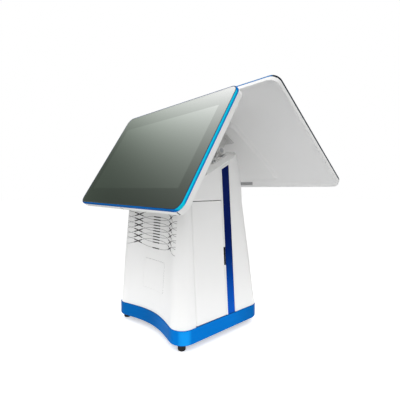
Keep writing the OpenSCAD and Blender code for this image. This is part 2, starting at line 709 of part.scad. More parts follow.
// Rounded outline, drawn in by e
function disp_pts(w, h, e, n = 7) =
  [for (c = [[1, 0, -90], [1, 1, 0], [-1, 1, 90], [-1, 0, 180]])
    let (r = max(disp_r - e, 1.5)) for (i = [0:n]) let (a = c[2] + 90 * i / n)
      [c[0] * (w / 2 - e - r) + r * cos(a), e + r + c[1] * (h - 2 * (e + r)) + r * sin(a)]];
module slab(w, h, e, z0, z1) translate([0, 0, z0]) linear_extrude(z1 - z0) polygon(disp_pts(w, h, e));
function housing_steps(t) = [[rim_w + dish_w, t - dish], [rim_w + 0.55 * dish_w, t - 0.9 * dish],
  [rim_w + 0.2 * dish_w, t - 0.45 * dish], [rim_w, t], [1.2, t], [0.35, t - 0.35], [0, t - 1.2], [0, trim_t]];
module housing(w, h, t) difference() {
  loft([for (k = housing_steps(t)) flat_ring(disp_pts(w, h, k[0]), -k[1])]);
  slab(w, h, side_t, dish + back_t - t, 1);
}
module leaf_holes(y0, y1) for (s = [-1, 1]) for (y = [y0 + 6, y1 - 6])
  translate([s * leaf_sx, y, -60]) cylinder(r = 1.95, h = 56);
module trim(w, h) difference() {
  loft([for (k = trim_steps) flat_ring(disp_pts(w, h, k[0]), -k[1])]);
  slab(w, h, trim_in + lip, -glass_t - 0.2, 1);
  slab(w, h, ledge, -trim_t - 1, 1);
}
module glass(w, h) slab(w, h, glass_in, -glass_t, 0);
// The picture is what the borders leave, and the panel behind it is a little larger
lcd_t = 3.2;
lcd_rim = 5.5;
module lcd(w, h, side, chin, brow) translate([0, 0, -glass_t - lcd_t]) linear_extrude(lcd_t)
  translate([glass_in + side - lcd_rim - w / 2, glass_in + chin - lcd_rim])
    square([w - 2 * (glass_in + side - lcd_rim), h - 2 * (glass_in - lcd_rim) - chin - brow]);
board_z = -glass_t - lcd_t;
board_t = 1.6;
post_h = 1;
chip_h = 1.2;
module disp_board(w, y0, y1) translate([0, 0, board_z - post_h - board_t]) {
  box([-w, y0, 0], [w, y1, board_t]);
  for (x = [-w + 6, w - 6]) for (y = [y0 + 6, y1 - 6]) translate([x, y, board_t]) cylinder(r = 3, h = post_h);
  box([-12, y0 + 12, -chip_h], [12, y0 + 30, 0]);
}

tick_x = [-cust_w / 2 + 10, 0, cust_w / 2 - 10];
module customer_housing() color(white) placed() on_cust() moulded() difference() {
  housing(cust_w, cust_h, cust_edge);
  leaf_holes(c_leaf[0], c_leaf[1]);
  for (x = tick_x) box([x - 0.8, -2, 1.5 - cust_edge], [x + 0.8, side_t - 0.8, -trim_t - 1]);
}
module customer_trim() color(blue) placed() on_cust() moulded() trim(cust_w, cust_h);
module customer_glass() color(dark) placed() on_cust() glass(cust_w, cust_h);
module customer_lcd() color(dark) placed() on_cust() lcd(cust_w, cust_h, cust_side, cust_chin, cust_brow);
module customer_board() color(green) placed() on_cust() disp_board(46, cust_h / 2 + 4, cust_h / 2 + 60);

// Operator display: port cover, power button in a pocket, and an opening under the service cover
bay_pts = [[10.7, 6.8], [3.4, 18.4], [72, 18.4], [72, 6.8]];
board_w = 40;
board_y0 = oper_h / 2 - 67;
board_y1 = oper_h / 2 - 7;
open_gap = 6;
btn_x = oper_w / 2 - 36;
btn_r = 1.5;
btn_z = -6.7;
btn_travel = 1;
btn_bar = [6, 1, 1.6];
pocket_z = 8.9;
switch_y = side_t + 4.6;
module operator_housing() color(white) placed() on_oper() moulded() difference() {
  housing(oper_w, oper_h, oper_edge);
  translate([0, 0, -oper_edge - 1]) linear_extrude(oper_edge) polygon(bay_pts);
  translate([btn_x, -5, btn_z]) rotate([-90, 0, 0]) cylinder(r = btn_r + 0.35, h = side_t + 6);
  box([btn_x - 8, side_t - 0.2, -pocket_z], [btn_x + 8, switch_y + 6, 0]);
  box([-board_w - open_gap, board_y0 - open_gap, -oper_edge], [board_w + open_gap, board_y1 + open_gap, 0]);
  leaf_holes(o_leaf[0], o_leaf[1]);
}
cover_pts = [[-62, 24], [62, 24], [71, 33], [71.5, 81], [66, 188], [58, 197],
  [-58, 197], [-66, 188], [-71.5, 81], [-71, 33]];
cover_mid = 110;
cover_z0 = oper_back + cover_t;
function cover_ring(s, z) = [for (p = cover_pts) [p[0] * s, cover_mid + (p[1] - cover_mid) * s, z]];
module operator_service_cover() color(white) placed() on_oper() moulded() difference() {
  loft([cover_ring(0.9, -cover_z0), cover_ring(0.925, 0.6 - cover_z0), cover_ring(1, -oper_back)]);
  loft([cover_ring(0.86, 1.8 - cover_z0), cover_ring(0.95, 1 - oper_back)]);
  leaf_holes(o_leaf[0], o_leaf[1]);
}
module operator_trim() color(navy) placed() on_oper() moulded() trim(oper_w, oper_h);
module operator_glass() color(dark) placed() on_oper() glass(oper_w, oper_h);
module operator_lcd() color(dark) placed() on_oper() lcd(oper_w, oper_h, oper_side, oper_chin, oper_brow);
module operator_board() color(green) placed() on_oper() disp_board(board_w, board_y0, board_y1);
module offset_bay(g) polygon([for (k = [[0, 2, 1], [1, 2, -1], [2, -1, -1], [3, -1, 1]])
  bay_pts[k[0]] + g * [k[1], k[2]]]);
module operator_port_cover() color(dark) placed() on_oper() {
  translate([0, 0, 0.2 - oper_back]) linear_extrude(back_t) offset_bay(fit_gap);
  box([0, 3.5, back_t - oper_back + 0.05], [76, 22, back_t - oper_back + 1.2]);
}
module power_button() color(dark) placed() on_oper() translate([btn_x, 0, btn_z]) {
  rotate([-90, 0, 0]) translate([0, 0, -0.5]) cylinder(r = btn_r, h = side_t + 1.2);
  rotate([-90, 0, 0]) cylinder(r = btn_r - 0.6, h = switch_y - btn_travel - 0.4);
  translate([-btn_bar[0], side_t + 0.4, -btn_bar[2]]) cube([2 * btn_bar[0], btn_bar[1], 2 * btn_bar[2]]);
}
module button_switch() color(dark) placed() on_oper()
  box([btn_x - 5, switch_y, 0.05 - pocket_z], [btn_x + 5, switch_y + 5, -trim_t - 0.5]);

base_tray();
rubber_feet();
ballast_plate();
front_shell();
neck_shell();
rear_shell();
strip_bezel_left();
strip_bezel_right();
side_strip_left();
side_strip_right();
deck_plate();
front_cover();
speaker_cloth();
speakers();
spine_frame();
main_board();
heatsink();
io_plate();
io_ports();
io_board();
dc_inlet();
printer_chassis();
print_head();
platen_roller();
platen_gear();
drive_motor();
motor_pinion();
paper_cradle();
printer_door();
door_brackets();
door_hinge_rod();
customer_hinge_base();
customer_hinge_shaft();
customer_hinge_leaf();
operator_hinge_base();
operator_hinge_shaft();
operator_hinge_leaf();
hinge_nuts();
hinge_screws();
customer_housing();
customer_trim();
customer_glass();
customer_lcd();
customer_board();
customer_leaf_screws();
operator_housing();
operator_service_cover();
operator_trim();
operator_glass();
operator_lcd();
operator_board();
operator_port_cover();
power_button();
button_switch();
operator_leaf_screws();
base_screws();
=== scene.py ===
"""Dresses a counter-top till: a tapered white pedestal that carries two tilting displays back to back."""

import math

import bmesh
import bpy
from mathutils import Matrix, Vector
from mathutils.bvhtree import BVHTree


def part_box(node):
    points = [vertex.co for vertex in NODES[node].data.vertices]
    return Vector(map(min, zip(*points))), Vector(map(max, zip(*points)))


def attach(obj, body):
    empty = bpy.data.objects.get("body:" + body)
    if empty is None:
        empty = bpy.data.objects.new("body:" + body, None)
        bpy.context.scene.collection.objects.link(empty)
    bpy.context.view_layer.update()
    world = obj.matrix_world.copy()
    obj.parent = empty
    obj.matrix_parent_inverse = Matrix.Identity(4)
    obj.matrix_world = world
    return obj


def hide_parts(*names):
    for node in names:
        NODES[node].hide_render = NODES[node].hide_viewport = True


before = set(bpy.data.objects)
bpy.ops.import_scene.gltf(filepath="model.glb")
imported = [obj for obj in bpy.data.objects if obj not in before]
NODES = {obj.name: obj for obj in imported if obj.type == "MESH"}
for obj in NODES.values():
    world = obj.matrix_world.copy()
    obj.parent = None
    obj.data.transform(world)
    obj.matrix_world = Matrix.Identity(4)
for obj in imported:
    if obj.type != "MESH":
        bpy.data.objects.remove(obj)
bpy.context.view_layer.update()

bl_info = {
    "name": "Counter Till",
    "version": (1, 0, 0),
    "blender": (4, 5, 0),
    "location": "View3D > Sidebar > Till",
    "description": "Finishes, screens, vent lattice and studio of a counter-top till",
    "category": "Object",
}

MM = 0.001

# Edges above SHARP_ANGLE stay sharp, faces within SKIN_ANGLE of the curved skin are shaded as that skin,
# and faces within FLAT_ANGLE of each other are joined.
SHARP_ANGLE = math.radians(32)
SKIN_ANGLE = math.radians(14)
FLAT_ANGLE = math.radians(0.4)


def linear(code):
    """An sRGB hex colour as linear red, green and blue."""
    channels = [int(code[i:i + 2], 16) / 255 for i in (1, 3, 5)]
    return [c / 12.92 if c <= 0.04045 else ((c + 0.055) / 1.055) ** 2.4 for c in channels]


def colour(name, text, code):
    """A colour property whose default is a hex value."""
    return bpy.props.FloatVectorProperty(
        name=name, description=text, subtype="COLOR", size=3, min=0, max=1, default=linear(code))


def length(name, text, mm):
    """A length property in metres whose default is given in millimetres."""
    return bpy.props.FloatProperty(
        name=name, description=text, unit="LENGTH", subtype="DISTANCE", min=0, default=mm * MM,
        precision=5)


class TillColours(bpy.types.PropertyGroup):
    """Colours of the till's finishes."""
    shell: colour("Shell white", "Moulded ABS of the pedestal and the display backs", "#F4F4F3")
    band: colour("Band blue", "Blue of the base band's sides", "#0474CC")
    # The band dark blue is painted shade where the band turns away, and the band light blue is a painted
    # highlight on its front corner.
    band_painted_shade: colour("Band dark blue", "Blue of the base band where it turns away", "#1A62A8")
    band_painted_highlight: colour("Band light blue", "Blue of the base band's front corner", "#1496EC")
    # The trim blue is painted shade where the rim turns down, and the trim cyan is a painted highlight where
    # it faces the light.
    trim: colour("Trim blue", "Blue of the customer display's rim where it turns down", "#002E80")
    trim_mid: colour("Trim azure", "Blue of the customer display's rim at its sides", "#0072C8")
    trim_painted_highlight: colour("Trim cyan", "Blue of the customer display's rim where it faces the light", "#10D4F0")
    rim: colour("Rim navy", "Dark blue of the operator display's rim at its sides", "#14222E")
    # The rim blue is a painted highlight along the top of the operator display's rim.
    rim_painted_highlight: colour("Rim blue", "Blue of the operator display's rim along its top", "#2A78B8")
    # The strip navy is painted shade: the strips darken towards the deck, where the displays shade them.
    strip: colour("Strip blue", "Blue of the side strips near the base", "#0058C4")
    strip_painted_shade: colour("Strip navy", "Blue of the side strips near the deck", "#00165A")
    ink: colour("Screen border", "Ink printed behind the cover glass", "#1D211D")
    panel: colour("Dark panel", "Switched-off picture area", "#222722")
    rubber: colour("Rubber", "Feet and platen", "#0D0D0E")
    cover: colour("Port cover", "Blanking cover on the operator display", "#9FA0A0")


class TillSizes(bpy.types.PropertyGroup):
    """Sizes that the finishes and the small pieces use."""
    edge: length("Edge round", "Radius on moulded edges", 0.4)
    grain: length("Grain", "Size of the moulded grain, drawn coarse so that it shows", 0.9)
    flat: length("Skin flat", "Width of the flats that make up the pedestal's curved skin", 4.5)
    line: length("Lattice line", "Width of the raised lines between the vents", 0.9)
    wave: length("Lattice wave", "Rise of each lattice line between its crossings", 7.125)
    crossing: length("Lattice crossing", "Sideways distance of the crossed vents", 47.2)
    reach: length("Lattice reach", "Sideways end of the lattice lines", 72)
    top_row: length("Lattice top row", "Height of the top row of crossed vents", 193.5)
    pitch: length("Lattice pitch", "Pitch of the rows of vents", 9.5)
    rows: bpy.props.IntProperty(name="Lattice rows", description="Rows of crossed vents", default=6)
    notch_foot: length("Notch foot", "Lower end of the finger notch beside the right strip", 114.2)
    notch_head: length("Notch head", "Upper end of the finger notch beside the right strip", 143.4)
    tick: length("Tick", "Width that holds each short tick under the customer display", 1.6)
    tick_inset: length("Tick inset", "Distance of the outer ticks from the ends of that display", 10)
    tick_rise: length("Tick rise", "Height over that display's lowest point that the ticks stay below", 15)


class TillStage(bpy.types.PropertyGroup):
    """Camera and light."""
    camera: bpy.props.FloatVectorProperty(
        name="Camera", description="Place of the camera", subtype="XYZ", unit="LENGTH", size=3,
        default=(0.4313, -0.39632, 0.2402))
    azimuth: bpy.props.FloatProperty(
        name="Azimuth", description="Heading of the camera from +Y", subtype="ANGLE",
        default=math.radians(47.91))
    pitch: bpy.props.FloatProperty(
        name="Pitch", description="How far the camera looks down", subtype="ANGLE",
        default=math.radians(2.24))
    focal: bpy.props.FloatProperty(
        name="Focal length", description="Lens on a 36 mm wide sensor", unit="CAMERA", default=27.63)
    horizon: bpy.props.FloatProperty(
        name="Horizon", description="Strength of the light from all round", default=0.68)
    zenith: bpy.props.FloatProperty(
        name="Zenith", description="Strength of the light from straight above", default=1.85)
    key: bpy.props.FloatProperty(
        name="Key", description="Power of the soft light in front", subtype="POWER", default=0.5)


def add_node(tree, kind, inputs=None, out=0, **settings):
    """Add one node with its settings and links, and return one of its outputs.

    An input is a value or another node's output."""
    made = tree.nodes.new(kind)
    for name, value in settings.items():
        setattr(made, name, value)
    for name, value in (inputs or {}).items():
        if isinstance(value, bpy.types.NodeSocket):
            tree.links.new(value, made.inputs[name])
        else:
            made.inputs[name].default_value = value
    return made.outputs[out] if made.outputs else None


def empty_material(name):
    """A material without nodes; returns it with its tree."""
    made = bpy.data.materials.new(name)
    made.use_nodes = True
    made.node_tree.nodes.clear()
    return made, made.node_tree


def new_material(name):
    """A material without a surface; returns it with its tree and the place in mm of each surface point."""
    made, tree = empty_material(name)
    metres = add_node(tree, "ShaderNodeTexCoord", out="Object")
    place = add_node(tree, "ShaderNodeVectorMath", {0: metres, 1: (1 / MM,) * 3}, operation="MULTIPLY")
    return made, tree, place


def rgba(values):
    """A colour as four values."""
    return (*values[:3], 1)


def shade(values, factor):
    """A colour made lighter or darker."""
    return tuple(min(1, v * factor) for v in values[:3]) + (1,)


# Each pattern's scale comes from a size in millimetres, most of them as one over that size.


def moulded_abs(name, base, grain_mm):
    """Injection-moulded plastic: a spark-eroded grain breaks the sheen, and the colour clouds faintly.

    The real grain is too fine to show, so it is drawn coarser."""
    made, tree, place = new_material(name)
    cloud = add_node(tree, "ShaderNodeTexNoise", {"Vector": place, "Scale": 1 / 60, "Detail": 2})
    grain = add_node(tree, "ShaderNodeTexNoise", {"Vector": place, "Scale": 1 / grain_mm, "Detail": 3})
    tone = add_node(tree, "ShaderNodeMix", {"Factor": cloud, "A": shade(base, 0.975), "B": rgba(base)},
                    "Result", data_type="RGBA")
    rough = add_node(tree, "ShaderNodeMapRange", {"Value": grain, "To Min": 0.36, "To Max": 0.5})
    relief = add_node(tree, "ShaderNodeBump", {"Height": grain, "Distance": 0.02 * MM, "Strength": 1})
    shader = add_node(tree, "ShaderNodeBsdfPrincipled", {
        "Base Color": tone, "Roughness": rough, "Normal": relief, "IOR": 1.53})
    add_node(tree, "ShaderNodeOutputMaterial", {"Surface": shader})
    return made


def gloss_abs(name, base, top, rise):
    """Dyed ABS with a half-gloss skin: a slight orange peel, and a fade to a top colour over a rise in mm,
    which paints shade towards the top.
    """
    made, tree, place = new_material(name)
    cloud = add_node(tree, "ShaderNodeTexNoise", {"Vector": place, "Scale": 1 / 45, "Detail": 2})
    peel = add_node(tree, "ShaderNodeTexNoise", {"Vector": place, "Scale": 1 / 5, "Detail": 1})
    tone = add_node(tree, "ShaderNodeMix", {"Factor": cloud, "A": shade(base, 0.93), "B": shade(base, 1.05)},
                    "Result", data_type="RGBA")
    # Painted shade: the colour fades towards the top colour as the height climbs.
    height = add_node(tree, "ShaderNodeSeparateXYZ", {"Vector": place}, "Z")
    climb = add_node(tree, "ShaderNodeMapRange", {"Value": height, "From Min": rise[0], "From Max": rise[1]},
                     interpolation_type="SMOOTHSTEP")
    painted_shade_fade = add_node(tree, "ShaderNodeMix", {"Factor": climb, "A": tone, "B": rgba(top)},
                     "Result", data_type="RGBA")
    rough = add_node(tree, "ShaderNodeMapRange", {"Value": peel, "To Min": 0.3, "To Max": 0.42})
    relief = add_node(tree, "ShaderNodeBump", {"Height": peel, "Distance": 0.01 * MM, "Strength": 1})
    shader = add_node(tree, "ShaderNodeBsdfPrincipled", {
        "Base Color": painted_shade_fade, "Roughness": rough, "Normal": relief, "Specular IOR Level": 0.05, "IOR": 1.45})
    add_node(tree, "ShaderNodeOutputMaterial", {"Surface": shader})
    return made


def lacquer_with_painted_light(name, deep, mid, bright, facing, steps=((0.0, 0.8), (0.86, 1.0)), dim=(1.0, 0, 1)):
    """Lacquer with painted light: deep as painted shade on edges that turn away, a painted highlight along
    the line that faces the light.

    Its flake is drawn coarse so that it shows. dim holds the share of the tone that stays as painted shade on
    the side away from the light, and the two places in mm along the light's direction between which it comes
    in."""
    made, tree, place = new_material(name)
    flake = add_node(tree, "ShaderNodeTexNoise", {"Vector": place, "Scale": 1 / 0.8, "Detail": 1})
    normal = add_node(tree, "ShaderNodeNewGeometry", out="Normal")
    # The tone follows how far each normal turns to the light: painted shade and painted highlight.
    turn = add_node(tree, "ShaderNodeVectorMath", {0: normal, 1: facing}, "Value", operation="DOT_PRODUCT")
    tone = rgba(deep)
    for tint, (low, high) in zip((mid, bright), steps):
        step = add_node(tree, "ShaderNodeMapRange", {"Value": turn, "From Min": low, "From Max": high},
                        interpolation_type="SMOOTHSTEP")
        tone = add_node(tree, "ShaderNodeMix", {"Factor": step, "A": tone, "B": rgba(tint)},
                        "Result", data_type="RGBA")
    # Painted shade: the tone is dimmed on the side away from the light.
    share, low, high = dim
    along = add_node(tree, "ShaderNodeVectorMath", {0: place, 1: facing}, "Value", operation="DOT_PRODUCT")
    lit = add_node(tree, "ShaderNodeMapRange", {
        "Value": along, "From Min": low, "From Max": high, "To Min": share}, interpolation_type="SMOOTHSTEP")
    dimmed = add_node(tree, "ShaderNodeVectorMath", {0: tone, "Scale": lit}, operation="SCALE")
    rough = add_node(tree, "ShaderNodeMapRange", {"Value": flake, "To Min": 0.26, "To Max": 0.34})
    shader = add_node(tree, "ShaderNodeBsdfPrincipled", {
        "Base Color": dimmed, "Roughness": rough, "Specular IOR Level": 0.015, "IOR": 1.45})
    add_node(tree, "ShaderNodeOutputMaterial", {"Surface": shader})
    return made


def cover_glass(name, base, ior):
    """Float glass with its print or panel close behind: dark, with a clear mirror sheen."""
    made, tree, place = new_material(name)
    smear = add_node(tree, "ShaderNodeTexNoise", {"Vector": place, "Scale": 1 / 70, "Detail": 4})
    tone = add_node(tree, "ShaderNodeMix", {"Factor": smear, "A": shade(base, 0.9), "B": shade(base, 1.1)},
                    "Result", data_type="RGBA")
    rough = add_node(tree, "ShaderNodeMapRange", {"Value": smear, "To Min": 0.015, "To Max": 0.05})
    shader = add_node(tree, "ShaderNodeBsdfPrincipled", {
        "Base Color": tone, "Roughness": rough, "IOR": ior})
    add_node(tree, "ShaderNodeOutputMaterial", {"Surface": shader})
    return made


def soft_rubber(name, base):
    """Moulded rubber: matt black with a dusty bloom."""
    made, tree, place = new_material(name)
    bloom = add_node(tree, "ShaderNodeTexNoise", {"Vector": place, "Scale": 1 / 2.5, "Detail": 4})
    tone = add_node(tree, "ShaderNodeMix", {"Factor": bloom, "A": rgba(base), "B": shade(base, 2.2)},
                    "Result", data_type="RGBA")
    rough = add_node(tree, "ShaderNodeMapRange", {"Value": bloom, "To Min": 0.62, "To Max": 0.85})
    relief = add_node(tree, "ShaderNodeBump", {"Height": bloom, "Distance": 0.05 * MM, "Strength": 1})
    shader = add_node(tree, "ShaderNodeBsdfPrincipled", {
        "Base Color": tone, "Roughness": rough, "Normal": relief, "IOR": 1.52})
    add_node(tree, "ShaderNodeOutputMaterial", {"Surface": shader})
    return made


def plated_steel(name, base):
    """Sheet steel plated with zinc or nickel: a soft grey mirror with rolling lines and clouded spangle."""
    made, tree, place = new_material(name)
    stretch = (0.05, 0.05, 2.2)
    rolled = add_node(tree, "ShaderNodeVectorMath", {0: place, 1: stretch}, operation="MULTIPLY")
    lines = add_node(tree, "ShaderNodeTexNoise", {"Vector": rolled, "Scale": 1 / 1.2, "Detail": 3})
    cloud = add_node(tree, "ShaderNodeTexNoise", {"Vector": place, "Scale": 1 / 6, "Detail": 2})
    tone = add_node(tree, "ShaderNodeMix", {"Factor": cloud, "A": shade(base, 0.85), "B": rgba(base)},
                    "Result", data_type="RGBA")
    rough = add_node(tree, "ShaderNodeMapRange", {"Value": lines, "To Min": 0.26, "To Max": 0.44})
    relief = add_node(tree, "ShaderNodeBump", {"Height": lines, "Distance": 0.01 * MM, "Strength": 1})
    shader = add_node(tree, "ShaderNodeBsdfPrincipled", {
        "Base Color": tone, "Metallic": 1, "Roughness": rough, "Normal": relief})
    add_node(tree, "ShaderNodeOutputMaterial", {"Surface": shader})
    return made


def coated_steel(name, base):
    """Powder coat on pressed steel: fine pebbled skin and a dull sheen."""
    made, tree, place = new_material(name)
    pebble = add_node(tree, "ShaderNodeTexNoise", {"Vector": place, "Scale": 1 / 0.7, "Detail": 2})
    tone = add_node(tree, "ShaderNodeMix", {"Factor": pebble, "A": shade(base, 0.85), "B": shade(base, 1.1)},
                    "Result", data_type="RGBA")
    rough = add_node(tree, "ShaderNodeMapRange", {"Value": pebble, "To Min": 0.4, "To Max": 0.6})
    relief = add_node(tree, "ShaderNodeBump", {"Height": pebble, "Distance": 0.04 * MM, "Strength": 1})
    shader = add_node(tree, "ShaderNodeBsdfPrincipled", {
        "Base Color": tone, "Roughness": rough, "Normal": relief, "IOR": 1.5})
    add_node(tree, "ShaderNodeOutputMaterial", {"Surface": shader})
    return made


def solder_mask(name):
    """FR4 board under green solder mask: copper tracks show as paler lines under the lacquer."""
    made, tree, place = new_material(name)
    # Rows of tracks are drawn coarse, so that they show.
    row, row_mm = 0.25, 1.5625
    tracks = add_node(tree, "ShaderNodeTexBrick", {
        "Vector": place, "Scale": row / row_mm, "Row Height": row, "Mortar Size": 0.05,
        "Color1": rgba(linear("#0C5A2E")), "Color2": rgba(linear("#0E6936")),
        "Mortar": rgba(linear("#3C8F52"))}, "Color")
    shader = add_node(tree, "ShaderNodeBsdfPrincipled", {
        "Base Color": tracks, "Roughness": 0.32, "IOR": 1.5})
    add_node(tree, "ShaderNodeOutputMaterial", {"Surface": shader})
    return made


def extruded_aluminium(name):
    """Extruded aluminium: bright with die lines along each fin."""
    made, tree, place = new_material(name)
    across_mm, along_mm = 1 / 3, 20
    stretch = (1 / across_mm, 1 / across_mm, 1 / along_mm)
    drawn = add_node(tree, "ShaderNodeVectorMath", {0: place, 1: stretch}, operation="MULTIPLY")
    lines = add_node(tree, "ShaderNodeTexNoise", {"Vector": drawn, "Scale": 1, "Detail": 3})
    dull, bright = rgba(linear("#B9BCBE")), rgba(linear("#D5D7D8"))
    tone = add_node(tree, "ShaderNodeMix", {"Factor": lines, "A": dull, "B": bright},
                    "Result", data_type="RGBA")
    rough = add_node(tree, "ShaderNodeMapRange", {"Value": lines, "To Min": 0.25, "To Max": 0.4})
    shader = add_node(tree, "ShaderNodeBsdfPrincipled", {
        "Base Color": tone, "Metallic": 1, "Roughness": rough})
    add_node(tree, "ShaderNodeOutputMaterial", {"Surface": shader})
    return made


def acoustic_cloth(name):
    """Black woven speaker cloth: a fine over and under weave, drawn at a 1 mm thread pitch."""
    made, tree, place = new_material(name)
    # At scale 1 a wave repeats about every 0.31.
    wave, thread_mm = 0.31, 1
    threads = {"Vector": place, "Scale": wave / thread_mm}
    warp = add_node(tree, "ShaderNodeTexWave", threads, "Fac", bands_direction="X")
    weft = add_node(tree, "ShaderNodeTexWave", threads, "Fac", bands_direction="Z")
    weave = add_node(tree, "ShaderNodeMath", {0: warp, 1: weft}, operation="MULTIPLY")
    gap, thread = rgba(linear("#050505")), rgba(linear("#1B1B1C"))
    tone = add_node(tree, "ShaderNodeMix", {"Factor": weave, "A": gap, "B": thread},
                    "Result", data_type="RGBA")
    relief = add_node(tree, "ShaderNodeBump", {"Height": weave, "Distance": 0.2 * MM, "Strength": 1})
    shader = add_node(tree, "ShaderNodeBsdfPrincipled", {
        "Base Color": tone, "Roughness": 0.9, "Sheen Weight": 0.2, "Normal": relief})
    add_node(tree, "ShaderNodeOutputMaterial", {"Surface": shader})
    return made


def skin_tree(pieces):
    """One search tree over the faces of several pieces."""
    points = []
    faces = []
    for piece in pieces:
        first = len(points)
        points += [v.co for v in piece.data.vertices]
        faces += [[first + v for v in p.vertices] for p in piece.data.polygons]
    return BVHTree.FromPolygons(points, faces)


def chord(tree, spot, out, way, reach):
    """The direction of the skin through a point, from the skin a little to each side of it."""
    lift = 1 * MM
    shares = (1, 0.75, 1.3, 0.5)
    for share in shares:
        ends = [tree.ray_cast(spot + way * reach * share * side + out * lift, -out, 2 * lift)[0]
                for side in (1, -1)]
        if None not in ends:
            return (ends[0] - ends[1]).normalized()
    return way


def mark_skin(names, width, height):
    """Store on each point the direction of the curved skin that the pieces' upright flats follow."""
    steepest = 0.6
    pieces = [NODES[name] for name in names]
    tree = skin_tree(pieces)
    group = skin_normals()
    for piece in pieces:
        spots = [v.co.copy().freeze() for v in piece.data.vertices]
        facing = {}
        for flat in sorted(piece.data.polygons, key=lambda p: p.area):
            if abs(flat.normal.z) < steepest:
                facing.update({spots[v]: flat.normal.copy() for v in flat.vertices})
        skin = piece.data.attributes.new("skin", "FLOAT_VECTOR", "POINT")
        found = {}
        for spot, out in facing.items():
            along = Vector((-out.y, out.x, 0)).normalized()
            across = chord(tree, spot, out, along, width)
            upward = chord(tree, spot, out, out.cross(along), height)
            found[spot] = across.cross(upward).normalized()
        for index, spot in enumerate(spots):
            skin.data[index].vector = found.get(spot, (0, 0, 0))
        follow = piece.modifiers.new("follow_skin", "NODES")
        follow.node_group = group


def geometry_group(name):
    """An empty geometry node group; returns it with its geometry input."""
    group = bpy.data.node_groups.new(name, "GeometryNodeTree")
    for way in ("INPUT", "OUTPUT"):
        group.interface.new_socket("Geometry", in_out=way, socket_type="NodeSocketGeometry")
    return group, add_node(group, "NodeGroupInput")


def normals_by_angle():
    """A node group that drops stored normals and keeps edges sharp above an angle."""
    group, start = geometry_group("smooth_below_angle")
    angle = add_node(group, "GeometryNodeInputMeshEdgeAngle")
    sharp = add_node(group, "FunctionNodeCompare", {0: angle, 1: SHARP_ANGLE},
                     data_type="FLOAT", operation="GREATER_THAN")
    smooth = add_node(group, "GeometryNodeSetMeshNormal", {
        "Mesh": start, "Remove Custom": True, "Edge Sharpness": sharp, "Face Sharpness": False},
        mode="SHARPNESS")
    add_node(group, "NodeGroupOutput", {0: smooth})
    return group


def skin_normals():
    """A node group that turns normals to the marked skin on the faces that nearly follow it."""
    group, start = geometry_group("follow_marked_skin")
    own = add_node(group, "GeometryNodeInputNormal", out="Normal")
    flat = add_node(group, "GeometryNodeFieldOnDomain", {"Value": own},
                    data_type="FLOAT_VECTOR", domain="FACE")
    stored = add_node(group, "GeometryNodeInputNamedAttribute", {"Name": "skin"}, "Attribute",
                      data_type="FLOAT_VECTOR")
    skin = add_node(group, "ShaderNodeVectorMath", {0: stored}, operation="NORMALIZE")
    match = add_node(group, "ShaderNodeVectorMath", {0: flat, 1: skin}, "Value", operation="DOT_PRODUCT")
    close = add_node(group, "FunctionNodeCompare", {0: match, 1: math.cos(SKIN_ANGLE)},
                     data_type="FLOAT", operation="GREATER_THAN")
    chosen = add_node(group, "GeometryNodeSwitch", {"Switch": close, "False": own, "True": skin},
                      input_type="VECTOR")
    even = add_node(group, "GeometryNodeSetMeshNormal", {"Mesh": start, "Custom Normal": chosen},
                    mode="FREE", domain="CORNER")
    add_node(group, "NodeGroupOutput", {0: even})
    return group


def soften(piece, radius):
    """Weld the piece's faces, round its sharp edges and smooth the rest, led by the larger faces."""
    weld = piece.modifiers.new("weld", "WELD")
    weld.merge_threshold = MM / 1000
    if radius:
        flat = piece.modifiers.new("flat_faces", "DECIMATE")
        flat.decimate_type = "DISSOLVE"
        flat.angle_limit = FLAT_ANGLE
        rounds = piece.modifiers.new("edge_rounds", "BEVEL")
        rounds.width = radius
        rounds.segments = 2
        rounds.limit_method = "ANGLE"
        rounds.angle_limit = SHARP_ANGLE
        rounds.use_clamp_overlap = True
    smooth = piece.modifiers.new("smooth", "NODES")
    smooth.node_group = bpy.data.node_groups.get("smooth_below_angle") or normals_by_angle()
    led = piece.modifiers.new("larger_faces_lead", "WEIGHTED_NORMAL")
    led.mode = "FACE_AREA_WITH_ANGLE"
    led.keep_sharp = True


def finish_nodes(names, material, radius):
    """Give CAD nodes their material and edge rounds."""
    for name in names:
        piece = NODES[name]
        piece.data.materials.clear()
        piece.data.materials.append(material)
        soften(piece, radius)


def put(name, data):
    """A new object in the scene."""
    made = bpy.data.objects.new(name, data)
    bpy.context.scene.collection.objects.link(made)
    return made


def put_mesh(name, mesh, materials):
    """A new object in the scene from a bmesh, which is used up."""
    data = bpy.data.meshes.new(name)
    mesh.to_mesh(data)
    mesh.free()
    for material in materials:
        data.materials.append(material)
    return put(name, data)


def new_piece(name, mesh, materials, body):
    """An object from a bmesh that rides on a body of the frame."""
    piece = put_mesh(name, mesh, materials)
    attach(piece, body)
    return piece


